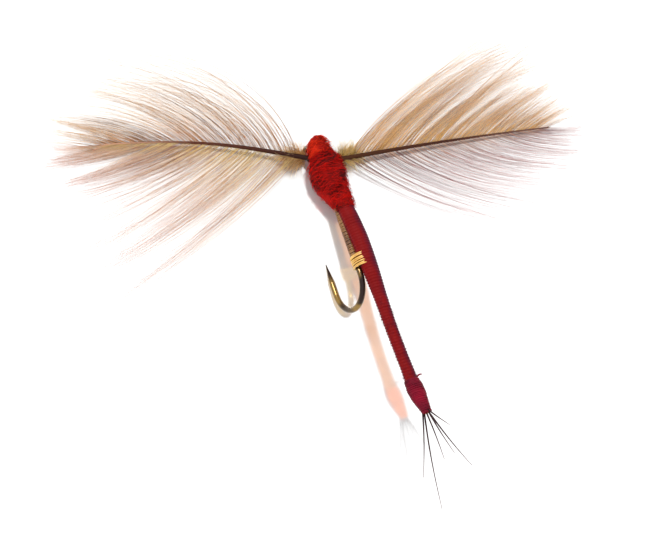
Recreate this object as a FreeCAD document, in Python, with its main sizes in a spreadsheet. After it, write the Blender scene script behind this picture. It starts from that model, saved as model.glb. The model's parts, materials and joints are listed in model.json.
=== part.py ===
"""A spent-wing dry fly with a detached abdomen, lying on a flat surface.

Lengths are in millimetres. The row frame has +Z up from the surface, +Y towards the head and
+X to the fly's right-hand side as it is seen from above. The hook, the dressing and the abdomen
are drawn in the fly's own frame: X runs along the shank towards the bend, Z is the fly's back
and Y its right side. Each wing is drawn in a frame of its own, with X along the quill.
"""

import FreeCAD, Part
import Sketcher
import math
import os

V = FreeCAD.Vector

DIMENSIONS = {
    # How the fly lies: the front of the straight shank, and the fly frame's three angles.
    "lie_x": 0.17,
    "lie_y": 8.47,
    "lie_z": 1.29,
    "lie_yaw": -73.0,
    "lie_pitch": -15.0,
    "lie_roll": -27.0,
    # Hook: light bronzed wire, round bend, down-turned eye.
    "wire_dia": 0.42,
    "shank_front": 0.30,
    "shank_rear": 9.53,
    "bend_radius": 1.80,
    "spear_length": 0.95,
    "point_length": 1.45,
    "point_tip_dia": 0.04,
    "eye_drop_angle": 43.0,
    "eye_neck_length": 0.95,
    "eye_ring_radius": 0.50,
    "eye_wire_dia": 0.36,
    "eye_bore_dia": 0.68,
    "eye_clear_dia": 0.90,
    "eye_clear_wide_dia": 1.30,
    "eye_clear_length": 4.0,
    # Thread and floss.
    "thread_build": 0.08,
    "shank_thread_front": 1.70,
    "shank_thread_rear": 8.30,
    "wing_wraps_front": 0.45,
    "wing_wraps_rear": 1.70,
    "wing_wraps_dia": 0.90,
    "rear_wraps_front": 8.30,
    "rear_wraps_width": 0.95,
    "rear_wraps_long": 1.72,
    "rear_wraps_short": 1.30,
    "core_dia": 0.36,
    "tail_wraps_build": 0.10,
    "tag_dia": 0.09,
    "tag_length": 0.75,
    # The flexing places: a small gap stands for the bending material.
    "flex_gap": 0.06,
    "abdomen_flex_at": 9.65,
    "abdomen_gap": 0.14,
    "tail_flex_at": 19.66,
    # Wings.
    "left_root_x": -0.73,
    "left_root_y": 7.91,
    "left_root_z": 1.50,
    "left_yaw": 177.0,
    "left_droop": 3.3,
    "left_quill_length": 14.7,
    "right_root_x": 1.70,
    "right_root_y": 7.82,
    "right_root_z": 1.70,
    "right_yaw": 10.3,
    "right_droop": 4.3,
    "right_quill_length": 15.3,
    "quill_root_dia": 0.36,
    "quill_tip_dia": 0.12,
    "vane_thickness": 0.12,
    "fluff_start": 0.36,
    "fluff_length": 1.10,
    "fluff_width": 1.60,
    "fluff_depth": 0.80,
    # Tail.
    "fibre_root_dia": 0.13,
    "fibre_tip_dia": 0.03,
    "fibre_seat_depth": 0.60,
}

# Head and thorax: distance along the shank, sideways and upward offset, and radius.
HEAD_STATIONS = (
    (-0.92, 0.00, 0.34, 0.12),
    (-0.84, 0.00, 0.34, 0.32),
    (-0.60, 0.00, 0.32, 0.54),
    (-0.20, -0.02, 0.28, 0.70),
    (0.20, -0.02, 0.22, 0.78),
    (0.45, 0.00, 0.18, 0.82),
)
THORAX_STATIONS = (
    (0.45, 0.00, 0.18, 0.82),
    (1.00, 0.02, 0.08, 1.06),
    (1.80, 0.00, 0.02, 1.24),
    (2.60, -0.04, 0.00, 1.30),
    (3.40, 0.04, 0.02, 1.22),
    (4.20, 0.15, 0.14, 1.02),
    (4.90, 0.24, 0.30, 0.80),
    (5.30, 0.28, 0.38, 0.68),
)
# Abdomen: it starts under the thorax, lies against the shank, then carries on past the bend.
ABDOMEN_STATIONS = (
    (3.20, 0.20, 0.32, 0.50),
    (5.00, 0.27, 0.45, 0.56),
    (7.20, 0.42, 0.55, 0.58),
    (9.40, 0.53, 0.56, 0.57),
    (11.80, 0.58, 0.50, 0.44),
    (14.20, 0.66, 0.40, 0.40),
    (16.40, 0.85, 0.25, 0.40),
    (18.10, 1.04, 0.09, 0.44),
    (19.50, 1.32, -0.06, 0.46),
)
TAIL_WRAPS_FRONT = 17.95
# Tail fibres: length, swing to the fly's right and rise towards its back in degrees, and the
# root's sideways and upward offset from the abdomen's middle.
TAIL_FIBRES = (
    (6.8, -1.0, -12.0, 0.03, -0.29),
    (3.8, 2.5, 1.0, 0.00, 0.00),
    (3.7, 9.5, 6.5, 0.17, 0.12),
    (4.9, 21.0, 3.0, 0.29, -0.07),
    (2.5, 8.0, 36.0, 0.00, 0.28),
    (4.6, -9.0, -18.0, -0.26, -0.12),
)
# Vane outlines, from the root round the outside to the tip: along the quill, away from it.
LEFT_FRONT_VANE = (
    (0.75, 0.62), (0.85, 1.35), (1.95, 3.2), (5.2, 5.5), (8.8, 6.6),
    (11.9, 7.1), (15.1, 7.0), (17.2, 4.9), (18.0, 2.5), (18.1, 0.35),
)
LEFT_REAR_VANE = (
    (0.75, -0.45), (0.95, -1.3), (2.3, -2.7), (5.0, -4.9), (8.4, -6.9),
    (11.8, -8.9), (14.3, -9.5), (16.3, -7.4), (17.5, -4.0), (18.1, -0.3),
)
RIGHT_FRONT_VANE = (
    (0.75, 0.45), (2.0, 1.5), (4.4, 2.9), (7.9, 4.5),
    (11.2, 5.0), (14.6, 5.9), (16.9, 4.6), (17.5, 2.4), (17.4, 0.35),
)
RIGHT_REAR_VANE = (
    (0.75, -0.45), (2.4, -2.3), (4.4, -3.5), (7.9, -5.5),
    (10.8, -6.3), (13.4, -6.4), (15.6, -5.1), (16.9, -2.6), (17.3, -0.3),
)

doc = FreeCAD.newDocument("dry_fly")
sheet = doc.addObject("Spreadsheet::Sheet", "Sizes")
for row, (alias, value) in enumerate(DIMENSIONS.items(), start=1):
    sheet.set(f"A{row}", alias)
    sheet.set(f"B{row}", str(value))
    sheet.setAlias(f"B{row}", alias)
doc.recompute()

subparts = []

FLY_LIE = ("placement(vector(Sizes.lie_x; Sizes.lie_y; Sizes.lie_z); "
           "rotation(Sizes.lie_yaw; Sizes.lie_pitch; Sizes.lie_roll))")
WING_LIE = ("placement(vector(Sizes.{0}_root_x; Sizes.{0}_root_y; Sizes.{0}_root_z); "
            "rotation(Sizes.{0}_yaw; Sizes.{0}_droop; 0))")


def new_body(label, lie):
    """An empty body with a name, placed in the fly's or a wing's frame."""
    body = doc.addObject("PartDesign::Body", label)
    body.Label = label
    body.setExpression("Placement", lie)
    return body


def keep(piece):
    """Add a finished piece to the sub-parts that are written out."""
    subparts.append(piece)
    return piece


def plane_of(body, role):
    """One of the body's own origin planes."""
    return next(item for item in body.Origin.OriginFeatures if item.Role == role)


def new_sketch(body, name, role, offset=None):
    """A sketch on one of the body's origin planes, lifted off it by a number or expression."""
    sketch = body.newObject("Sketcher::SketchObject", name)
    sketch.AttachmentSupport = [(plane_of(body, role), "")]
    sketch.MapMode = "FlatFace"
    if isinstance(offset, str):
        sketch.setExpression("AttachmentOffset.Base.z", offset)
    elif offset is not None:
        sketch.AttachmentOffset = FreeCAD.Placement(V(0, 0, offset), FreeCAD.Rotation())
    return sketch


def add_circle(sketch, radius, y=0.0, z=0.0):
    """A circle whose radius is a number or an expression, fixed in place."""
    start = radius if isinstance(radius, float) else 0.3
    index = sketch.addGeometry(Part.Circle(V(y, z, 0), V(0, 0, 1), start), False)
    constraint = sketch.addConstraint(Sketcher.Constraint("Radius", index, start))
    if isinstance(radius, str):
        sketch.setExpression(f"Constraints[{constraint}]", radius)
    sketch.addConstraint(Sketcher.Constraint("DistanceX", -1, 1, index, 3, y))
    sketch.addConstraint(Sketcher.Constraint("DistanceY", -1, 1, index, 3, z))


def loft_circles(label, lie, stations):
    """A smooth rod through circles across the X axis: place, sideways, upward, radius."""
    body = new_body(label, lie)
    profiles = []
    for number, (place, y, z, radius) in enumerate(stations):
        sketch = new_sketch(body, f"{label}_ring_{number}", "YZ_Plane", place)
        add_circle(sketch, radius, y, z)
        profiles.append(sketch)
    loft = body.newObject("PartDesign::AdditiveLoft", f"{label}_loft")
    loft.Profile = profiles[0]
    loft.Sections = profiles[1:]
    return body


def cut_from(label, base, tools):
    """The base with every tool taken out of it, one after another."""
    result = base
    for number, tool in enumerate(tools):
        cut = doc.addObject("Part::Cut", f"{label}_cut_{number}")
        cut.Base = result
        cut.Tool = tool
        result = cut
    result.Label = label
    return result


def ball(name, centre, radius):
    """A sphere in the row frame, used to clear room round a flexing place."""
    sphere = doc.addObject("Part::Sphere", name)
    sphere.Radius = radius
    sphere.Placement.Base = centre
    return sphere


def value(alias):
    """A driving dimension, as a number."""
    return DIMENSIONS[alias]


def point_between(stations, place):
    """Sideways and upward offset and radius of a rod, part-way between its stations."""
    for near, far in zip(stations, stations[1:]):
        if near[0] <= place <= far[0]:
            share = (place - near[0]) / (far[0] - near[0])
            return tuple(a + (b - a) * share for a, b in zip(near[1:], far[1:]))
    raise ValueError(f"{place} is off the rod")


fly_lie = FreeCAD.Placement(
    V(value("lie_x"), value("lie_y"), value("lie_z")),
    FreeCAD.Rotation(value("lie_yaw"), value("lie_pitch"), value("lie_roll")),
)
wing_lie = {
    side: FreeCAD.Placement(
        V(value(f"{side}_root_x"), value(f"{side}_root_y"), value(f"{side}_root_z")),
        FreeCAD.Rotation(value(f"{side}_yaw"), value(f"{side}_droop"), 0),
    )
    for side in ("left", "right")
}


def make_hook():
    """Wire with a straight shank, a round bend, a tapered point and a bored eye ring."""
    body = new_body("hook", FLY_LIE)
    front, rear = value("shank_front"), value("shank_rear")
    radius, spear = value("bend_radius"), value("spear_length")
    path = new_sketch(body, "hook_path", "XZ_Plane")
    path.addGeometry(Part.LineSegment(V(front, 0, 0), V(rear, 0, 0)), False)
    path.addGeometry(Part.ArcOfCircle(
        Part.Circle(V(rear, -radius, 0), V(0, 0, 1), radius), -math.pi / 2, math.pi / 2), False)
    path.addGeometry(Part.LineSegment(V(rear, -2 * radius, 0), V(rear - spear, -2 * radius, 0)), False)
    add = path.addConstraint
    add(Sketcher.Constraint("Tangent", 0, 2, 1, 2))
    add(Sketcher.Constraint("Tangent", 1, 1, 2, 1))
    add(Sketcher.Constraint("Horizontal", 0))
    add(Sketcher.Constraint("PointOnObject", 0, 1, -1))
    bound = {
        "Sizes.shank_front": add(Sketcher.Constraint("DistanceX", -1, 1, 0, 1, front)),
        "Sizes.shank_rear": add(Sketcher.Constraint("DistanceX", -1, 1, 0, 2, rear)),
        "Sizes.bend_radius": add(Sketcher.Constraint("Radius", 1, radius)),
        "Sizes.spear_length": add(Sketcher.Constraint("DistanceX", 2, 2, 2, 1, spear)),
    }
    for expression, index in bound.items():
        path.setExpression(f"Constraints[{index}]", expression)
    section = new_sketch(body, "hook_section", "YZ_Plane", "Sizes.shank_front")
    add_circle(section, "Sizes.wire_dia / 2")
    wire = body.newObject("PartDesign::AdditivePipe", "hook_wire")
    wire.Profile = section
    wire.Spine = path
    doc.recompute()

    point = body.newObject("PartDesign::AdditiveCone", "hook_point")
    point.setExpression("Radius1", "Sizes.wire_dia / 2")
    point.setExpression("Radius2", "Sizes.point_tip_dia / 2")
    point.setExpression("Height", "Sizes.point_length")
    point.setExpression("Placement", "placement(vector(Sizes.shank_rear - Sizes.spear_length; 0; "
                        "-2 * Sizes.bend_radius); rotation(0; -90; 0))")
    doc.recompute()

    elbow = body.newObject("PartDesign::AdditiveSphere", "hook_elbow")
    elbow.setExpression("Radius", "Sizes.wire_dia / 2")
    elbow.setExpression("Placement", "placement(vector(Sizes.shank_front; 0; 0); rotation(0; 0; 0))")
    neck = body.newObject("PartDesign::AdditiveCone", "hook_neck")
    neck.setExpression("Radius1", "Sizes.wire_dia / 2")
    neck.setExpression("Radius2", "Sizes.eye_wire_dia / 2")
    neck.setExpression("Height", "Sizes.eye_neck_length - Sizes.eye_ring_radius")
    neck.setExpression("Placement", "placement(vector(Sizes.shank_front; 0; 0); "
                       "rotation(0; -90 - Sizes.eye_drop_angle; 0))")
    doc.recompute()

    eye_place = ("placement(vector(Sizes.shank_front - Sizes.eye_neck_length * "
                 "cos(Sizes.eye_drop_angle * 1deg); 0; {0}-Sizes.eye_neck_length * "
                 "sin(Sizes.eye_drop_angle * 1deg)); rotation(0; -Sizes.eye_drop_angle; 0))")
    ring = body.newObject("PartDesign::AdditiveTorus", "hook_eye_ring")
    ring.setExpression("Radius1", "Sizes.eye_ring_radius")
    ring.setExpression("Radius2", "Sizes.eye_wire_dia / 2")
    ring.setExpression("Placement", eye_place.format(""))
    doc.recompute()
    bore = body.newObject("PartDesign::SubtractiveCylinder", "hook_eye_bore")
    bore.setExpression("Radius", "Sizes.eye_bore_dia / 2")
    bore.setExpression("Height", "Sizes.eye_wire_dia * 2")
    angle = math.radians(value("eye_drop_angle"))
    neck_length = value("eye_neck_length")
    centre = V(front - neck_length * math.cos(angle), 0, -neck_length * math.sin(angle))
    axis = V(-math.sin(angle), 0, math.cos(angle))
    turn = FreeCAD.Rotation(V(0, 0, 1), axis)
    bore.Placement = FreeCAD.Placement(centre - axis * value("eye_wire_dia"), turn)
    doc.recompute()
    return keep(body), centre, axis


hook, eye_centre, eye_axis = make_hook()


def make_shank_thread():
    """Close turns of thread along the shank, as a sleeve on the wire."""
    body = new_body("shank_thread", FLY_LIE)
    section = new_sketch(body, "shank_thread_section", "YZ_Plane", "Sizes.shank_thread_front")
    add_circle(section, "Sizes.wire_dia / 2")
    add_circle(section, "Sizes.wire_dia / 2 + Sizes.thread_build")
    pad = body.newObject("PartDesign::Pad", "shank_thread_pad")
    pad.Profile = section
    pad.setExpression("Length", "Sizes.shank_thread_rear - Sizes.shank_thread_front")
    return keep(body)


shank_thread = make_shank_thread()


def make_wing_butt(side, inner):
    """The tied-in end of a wing quill: a short rod from beside the shank to the wing root."""
    root = fly_lie.inverse().multVec(wing_lie[side].Base)
    start = V(*inner)
    run = root - start
    rod = doc.addObject("Part::Cylinder", f"{side}_wing_butt")
    rod.Label = f"{side}_wing_butt"
    rod.setExpression("Radius", "Sizes.quill_root_dia / 2 - 0.02")
    rod.Height = run.Length - value("quill_root_dia") / 2 - value("flex_gap")
    turn = FreeCAD.Rotation(V(0, 0, 1), run)
    rod.Placement = fly_lie.multiply(FreeCAD.Placement(start, turn))
    return keep(rod)


left_butt = make_wing_butt("left", (0.95, -0.36, -0.12))
right_butt = make_wing_butt("right", (1.10, 0.36, 0.16))


def make_wing_wraps():
    """Figure-of-eight thread turns that lock both wing butts to the shank, as one barrel."""
    middle = (value("wing_wraps_front") + value("wing_wraps_rear")) / 2
    radius = value("wing_wraps_dia") / 2
    barrel = loft_circles("wing_wraps_barrel", FLY_LIE, (
        (value("wing_wraps_front"), 0.0, 0.0, radius * 0.75),
        (middle, 0.0, 0.0, radius),
        (value("wing_wraps_rear"), 0.0, 0.0, radius * 0.75),
    ))
    return keep(cut_from("wing_wraps", barrel, (hook, left_butt, right_butt)))


wing_wraps = make_wing_wraps()


def make_abdomen():
    """Core and floss, each as a tied-down front stretch and a free rear stretch."""
    flex_at = value("abdomen_flex_at")
    y, z, _ = point_between(ABDOMEN_STATIONS, flex_at)
    core_radius = value("core_dia") / 2
    first, last = ABDOMEN_STATIONS[0][0], ABDOMEN_STATIONS[-1][0]
    front_end = flex_at - value("abdomen_gap")
    rear_start = flex_at + value("abdomen_gap")
    core_end = last - value("fibre_seat_depth") - value("flex_gap")

    def stretch(start, end):
        """The stations from one place to another, with stations of its own at both ends."""
        inside = [station for station in ABDOMEN_STATIONS if start + 0.5 < station[0] < end - 0.5]
        ends = [(place, *point_between(ABDOMEN_STATIONS, place)) for place in (start, end)]
        return [ends[0], *inside, ends[1]]

    def thin(stations):
        """The same stations at the core's radius."""
        return [(place, a, b, core_radius) for place, a, b, _ in stations]

    front = stretch(first, front_end)
    core_whole = loft_circles("core_butt_whole", FLY_LIE, thin(front))
    keep(cut_from("abdomen_core_butt", core_whole, (shank_thread, hook)))
    floss_whole = loft_circles("floss_front_whole", FLY_LIE, front)
    keep(cut_from("abdomen_floss_front", floss_whole, (core_whole, shank_thread, hook)))

    core_rear = keep(loft_circles("abdomen_core", FLY_LIE, thin(stretch(rear_start, core_end))))
    rear_whole = loft_circles("floss_rear_whole", FLY_LIE, stretch(rear_start, TAIL_WRAPS_FRONT))
    keep(cut_from("abdomen_floss_rear", rear_whole, (core_rear,)))
    hinge = fly_lie.multVec(V(flex_at, y, z))
    return core_rear, floss_whole, hinge


abdomen_core, floss_front, abdomen_hinge = make_abdomen()


def make_rear_wraps():
    """Tan thread turns round the shank and the abdomen together, just before the bend."""
    body = new_body("rear_wraps_oval", FLY_LIE)
    y, z, radius = point_between(ABDOMEN_STATIONS, value("rear_wraps_front"))
    away = math.hypot(y, z)
    shank_edge = -value("wire_dia") / 2 - value("thread_build") * 2
    centre = (shank_edge + away + radius) / 2 + 0.03
    middle = V(y, z, 0) * (centre / away)
    section = new_sketch(body, "rear_wraps_section", "YZ_Plane", "Sizes.rear_wraps_front")
    long_half, short_half = value("rear_wraps_long") / 2, value("rear_wraps_short") / 2
    along = V(y, z, 0) * (long_half / away)
    across = V(-z, y, 0) * (short_half / away)
    section.addGeometry(Part.Ellipse(middle + along, middle + across, middle), False)
    pad = body.newObject("PartDesign::Pad", "rear_wraps_pad")
    pad.Profile = section
    pad.setExpression("Length", "Sizes.rear_wraps_width")
    doc.recompute()
    return keep(cut_from("rear_wraps", body, (floss_front, hook)))


rear_wraps = make_rear_wraps()


def make_head_and_thorax():
    """Fur dubbed over the thread, with the eye's hole and the wing roots left clear."""
    clear = doc.addObject("Part::Cone", "eye_clearance")
    clear.setExpression("Radius1", "Sizes.eye_clear_wide_dia / 2")
    clear.setExpression("Radius2", "Sizes.eye_clear_dia / 2")
    clear.setExpression("Height", "Sizes.eye_clear_length")
    turn = FreeCAD.Rotation(V(0, 0, 1), eye_axis)
    start = eye_centre - eye_axis * (value("eye_clear_length") / 2)
    clear.Placement = fly_lie.multiply(FreeCAD.Placement(start, turn))
    room = value("quill_root_dia") / 2 + value("flex_gap") + 0.04
    sockets = [ball(f"{side}_root_room", wing_lie[side].Base, room) for side in ("left", "right")]
    head = loft_circles("head_whole", FLY_LIE, HEAD_STATIONS)
    keep(cut_from("head", head, (hook, clear, left_butt, right_butt, *sockets)))
    thorax = loft_circles("thorax_whole", FLY_LIE, THORAX_STATIONS)
    inner = (hook, shank_thread, wing_wraps, left_butt, right_butt, floss_front, *sockets)
    return keep(cut_from("thorax_dubbing", thorax, inner))


make_head_and_thorax()


def make_tail():
    """Thread turns at the abdomen's end, a loose thread end, and the tail fibres."""
    last = ABDOMEN_STATIONS[-1][0]
    stations = []
    for place in (TAIL_WRAPS_FRONT, 18.5, 19.1, last):
        y, z, radius = point_between(ABDOMEN_STATIONS, place)
        build = value("tail_wraps_build") * (0.4 if place in (TAIL_WRAPS_FRONT, last) else 1.0)
        stations.append((place, y, z, radius + build))
    sleeve = loft_circles("tail_wraps_whole", FLY_LIE, stations)
    end_y, end_z, _ = ABDOMEN_STATIONS[-1][1:]
    seat_x = last - value("fibre_seat_depth")

    seats = []
    fibres = []
    lie_along = FreeCAD.Rotation(V(0, 1, 0), 90)
    for number, (length, swing, rise, side, up) in enumerate(TAIL_FIBRES, start=1):
        turn = FreeCAD.Rotation(swing, -rise, 0)
        spread = V(0, side, up)
        seat = doc.addObject("Part::Cylinder", f"tail_seat_{number}")
        seat.setExpression("Radius", "Sizes.fibre_root_dia / 2")
        seat.setExpression("Height", "Sizes.fibre_seat_depth")
        seat_start = V(seat_x, end_y, end_z) + spread
        seat.Placement = fly_lie.multiply(FreeCAD.Placement(seat_start, lie_along))
        seats.append(seat)
        fibre = doc.addObject("Part::Cone", f"tail_fibre_{number}")
        fibre.Label = f"tail_fibre_{number}"
        fibre.setExpression("Radius1", "Sizes.fibre_root_dia / 2")
        fibre.setExpression("Radius2", "Sizes.fibre_tip_dia / 2")
        fibre.Height = length
        start = V(value("tail_flex_at"), end_y, end_z) + spread
        fibre.Placement = fly_lie.multiply(FreeCAD.Placement(start, turn.multiply(lie_along)))
        fibres.append(fibre)
    bundle = doc.addObject("Part::Compound", "tail_butts")
    bundle.Links = seats
    bundle.Label = "tail_butts"
    keep(bundle)
    keep(cut_from("tail_wraps", sleeve, (abdomen_core, *seats)))
    for fibre in fibres:
        keep(fibre)

    tag = doc.addObject("Part::Cylinder", "thread_tag")
    tag.Label = "thread_tag"
    tag.setExpression("Radius", "Sizes.tag_dia / 2")
    tag.setExpression("Height", "Sizes.tag_length")
    y, z, radius = point_between(ABDOMEN_STATIONS, 17.6)
    tag_turn = FreeCAD.Rotation(V(0, 0, 1), V(-0.25, 0.9, 0.35))
    tag_start = V(17.6, y + radius * 0.96, z + radius * 0.42)
    tag.Placement = fly_lie.multiply(FreeCAD.Placement(tag_start, tag_turn))
    keep(tag)


make_tail()


def make_quill(side):
    """A straight tapered stem that turns in the room left round its root."""
    quill = doc.addObject("Part::Cone", f"{side}_quill")
    quill.Label = f"{side}_quill"
    quill.setExpression("Radius1", "Sizes.quill_root_dia / 2")
    quill.setExpression("Radius2", "Sizes.quill_tip_dia / 2")
    quill.setExpression("Height", f"Sizes.{side}_quill_length")
    outward = FreeCAD.Placement(V(0, 0, 0), FreeCAD.Rotation(V(0, 1, 0), 90))
    quill.Placement = wing_lie[side].multiply(outward)
    return keep(quill)


def make_vane(side, name, outline, forward):
    """One web of a wing as a thin closed plate beside the quill."""
    body = new_body(f"{side}_{name}", WING_LIE.format(side))
    sketch = new_sketch(body, f"{side}_{name}_outline", "XY_Plane", "-Sizes.vane_thickness / 2")
    points = [V(u, v * forward, 0) for u, v in outline]
    edge = Part.BSplineCurve()
    edge.interpolate(points)
    sketch.addGeometry(edge, False)
    sketch.addGeometry(Part.LineSegment(points[-1], points[0]), False)
    pad = body.newObject("PartDesign::Pad", f"{side}_{name}_pad")
    pad.Profile = sketch
    pad.setExpression("Length", "Sizes.vane_thickness")
    return keep(body)


def make_wing(side, forward, front_outline, rear_outline):
    """Quill, two webs, and the tuft of down at the root."""
    quill = make_quill(side)
    front = make_vane(side, "front_vane", front_outline, forward)
    rear = make_vane(side, "rear_vane", rear_outline, forward)

    tuft = doc.addObject("Part::Ellipsoid", f"{side}_fluff_whole")
    tuft.setExpression("Radius1", "Sizes.fluff_depth / 2")
    tuft.setExpression("Radius2", "Sizes.fluff_length / 2")
    tuft.setExpression("Radius3", "Sizes.fluff_width / 2")
    middle = V(value("fluff_start") + value("fluff_length") / 2, 0.1 * forward, 0)
    tuft.Placement = wing_lie[side].multiply(FreeCAD.Placement(middle, FreeCAD.Rotation()))
    keep(cut_from(f"{side}_fluff", tuft, (quill, front, rear)))


make_wing("left", -1, LEFT_FRONT_VANE, LEFT_REAR_VANE)
make_wing("right", 1, RIGHT_FRONT_VANE, RIGHT_REAR_VANE)

doc.recompute()
for item in doc.Objects:
    if "Invalid" in item.State or "Error" in item.State:
        raise RuntimeError(f"{item.Label} did not compute: {item.State}")

os.makedirs("parts", exist_ok=True)
for piece in subparts:
    shape = piece.Shape
    if shape.isNull() or not shape.isValid():
        raise RuntimeError(f"{piece.Label} has no valid shape")
    shape.exportStep(f"parts/{piece.Label}.step")
    print(f"{piece.Label}: {len(shape.Solids)} solid(s), {shape.Volume:.4f} mm3")
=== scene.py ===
"""The looks of a spent-wing dry fly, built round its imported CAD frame.

Lengths are in millimetres where no comment says otherwise. They are given in the fly's own frame
(back along the shank, to its right and up) or in a wing's (outward along the stem, forward of it
and up), and fly_point and wing_point turn them into metres in the row frame.
"""
import json
import math
import random

import bpy
import numpy as np
from mathutils import Euler, Matrix, Vector


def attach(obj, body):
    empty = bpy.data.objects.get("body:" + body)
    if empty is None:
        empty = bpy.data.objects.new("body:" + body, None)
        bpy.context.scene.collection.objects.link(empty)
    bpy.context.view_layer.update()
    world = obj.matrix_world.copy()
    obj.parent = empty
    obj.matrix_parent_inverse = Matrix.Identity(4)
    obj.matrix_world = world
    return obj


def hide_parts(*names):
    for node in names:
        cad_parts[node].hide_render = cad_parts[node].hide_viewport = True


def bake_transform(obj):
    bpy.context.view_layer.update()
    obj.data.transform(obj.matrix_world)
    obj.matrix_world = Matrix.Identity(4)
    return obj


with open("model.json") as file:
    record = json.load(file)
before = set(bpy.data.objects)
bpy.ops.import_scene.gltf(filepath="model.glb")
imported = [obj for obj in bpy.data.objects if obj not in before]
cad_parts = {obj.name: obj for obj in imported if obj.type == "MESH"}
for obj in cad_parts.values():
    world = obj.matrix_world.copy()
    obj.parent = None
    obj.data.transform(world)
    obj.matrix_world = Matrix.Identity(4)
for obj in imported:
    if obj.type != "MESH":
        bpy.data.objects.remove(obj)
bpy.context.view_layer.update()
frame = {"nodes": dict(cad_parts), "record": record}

MM = 0.001
SEED = 41
joints = {joint["name"]: joint for joint in frame["record"]["behaviour"]["joints"]}
mounts = {mount["name"]: mount for mount in frame["record"]["mounts"]}


# ---------------------------------------------------------------- frames and small helpers

def turned(yaw, pitch):
    """The rotation for a yaw and a pitch in degrees."""
    return Euler((0.0, math.radians(pitch), math.radians(yaw)), "XYZ").to_matrix()


# The fly's frame follows from the hook's bend, which lies at BEND_PLACE in it, and a hinge's axis.
BEND_PLACE = Vector((11.33, 0.0, -1.8))
SHANK = Vector(mounts["hook_bend"]["axis"]).normalized()
RIGHT = -Vector(joints["abdomen_flex"]["axis"]).normalized()
FLY_TURN = Matrix((SHANK, RIGHT, SHANK.cross(RIGHT))).transposed()
FLY_ORIGIN = Vector(mounts["hook_bend"]["pos_m"]) / MM - FLY_TURN @ BEND_PLACE

# Each stem's heading, which way is forward, its length, its bow and how far its tip hooks back.
WINGS = {
    "left": {"turn": turned(177.0, 3.3), "forward": -1, "length": 14.7, "bow": 0.60, "hook": 0.40},
    "right": {"turn": turned(10.3, 4.3), "forward": 1, "length": 15.3, "bow": 0.13, "hook": 0.0},
}
for side, wing in WINGS.items():
    wing["root"] = Vector(joints[f"{side}_wing_flex"]["pos_m"]) / MM
HOOKED_SHARE = 0.07

SHORTEST = 1e-9


def fly_point(x, y, z):
    """A point of the fly's own frame, in metres in the row frame."""
    return (FLY_ORIGIN + FLY_TURN @ Vector((x, y, z))) * MM


def wing_point(side, u, v, w):
    """A point given outward along the stem, forward of it and above the wing, in metres."""
    wing = WINGS[side]
    return (wing["root"] + wing["turn"] @ Vector((u, v * wing["forward"], w))) * MM


def quill_bow(side, u):
    """How far forward the curved stem stands, outward distance u from its root."""
    wing = WINGS[side]
    share = min(max(u / wing["length"], 0.0), 1.0)
    tip_share = max(share - (1.0 - HOOKED_SHARE), 0.0) / HOOKED_SHARE
    return wing["bow"] * math.sin(math.pi * share) - wing["hook"] * tip_share ** 2


def taper(root, loss, steps):
    """Radii in metres that fall evenly by a loss over a number of steps."""
    return [(root - loss * step / steps) * MM for step in range(steps + 1)]


def store(mesh, name, values):
    """Keep one number for each point of a mesh."""
    layer = mesh.attributes.new(name, "FLOAT", "POINT")
    layer.data.foreach_set("value", np.asarray(values, dtype=np.float32))


def mesh_object(name, verts, faces, material, attributes=None, smooth=True):
    """An object from vertices and faces, with one material and point attributes."""
    mesh = bpy.data.meshes.new(name)
    mesh.from_pydata([tuple(vert) for vert in verts], [], faces)
    for key, values in (attributes or {}).items():
        store(mesh, key, values)
    mesh.polygons.foreach_set("use_smooth", [smooth] * len(mesh.polygons))
    mesh.materials.append(material)
    mesh.update()
    piece = bpy.data.objects.new(name, mesh)
    bpy.context.scene.collection.objects.link(piece)
    return piece


class Strands:
    """Collects many thin tapered strands, each a path with radii, into one mesh."""

    def __init__(self, sides=3):
        self.sides = sides
        self.verts = []
        self.faces = []
        self.along = []
        self.tone = []

    def add(self, points, radii, tone):
        """One closed strand."""
        sides = self.sides
        first = len(self.verts)
        last_point = len(points) - 1
        for i, point in enumerate(points):
            ahead = points[min(i + 1, last_point)] - points[max(i - 1, 0)]
            across = ahead.cross(Vector((0.0, 0.0, 1.0)))
            if across.length < SHORTEST:
                across = Vector((1.0, 0.0, 0.0))
            across.normalize()
            over = across.cross(ahead).normalized()
            for k in range(sides):
                angle = 2 * math.pi * k / sides
                rim = across * math.cos(angle) + over * math.sin(angle)
                self.verts.append(point + rim * radii[i])
                self.along.append(i / last_point)
                self.tone.append(tone)
            if i:
                low = first + (i - 1) * sides
                high = first + i * sides
                for k in range(sides):
                    nxt = (k + 1) % sides
                    self.faces.append((low + k, low + nxt, high + nxt, high + k))
        self.faces.append(tuple(range(first + sides - 1, first - 1, -1)))
        self.faces.append(tuple(range(len(self.verts) - sides, len(self.verts))))

    def make(self, name, material):
        """The finished object, with how far along each point is and its strand's tone."""
        return mesh_object(name, self.verts, self.faces, material, {"along": self.along, "tone": self.tone})


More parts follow.
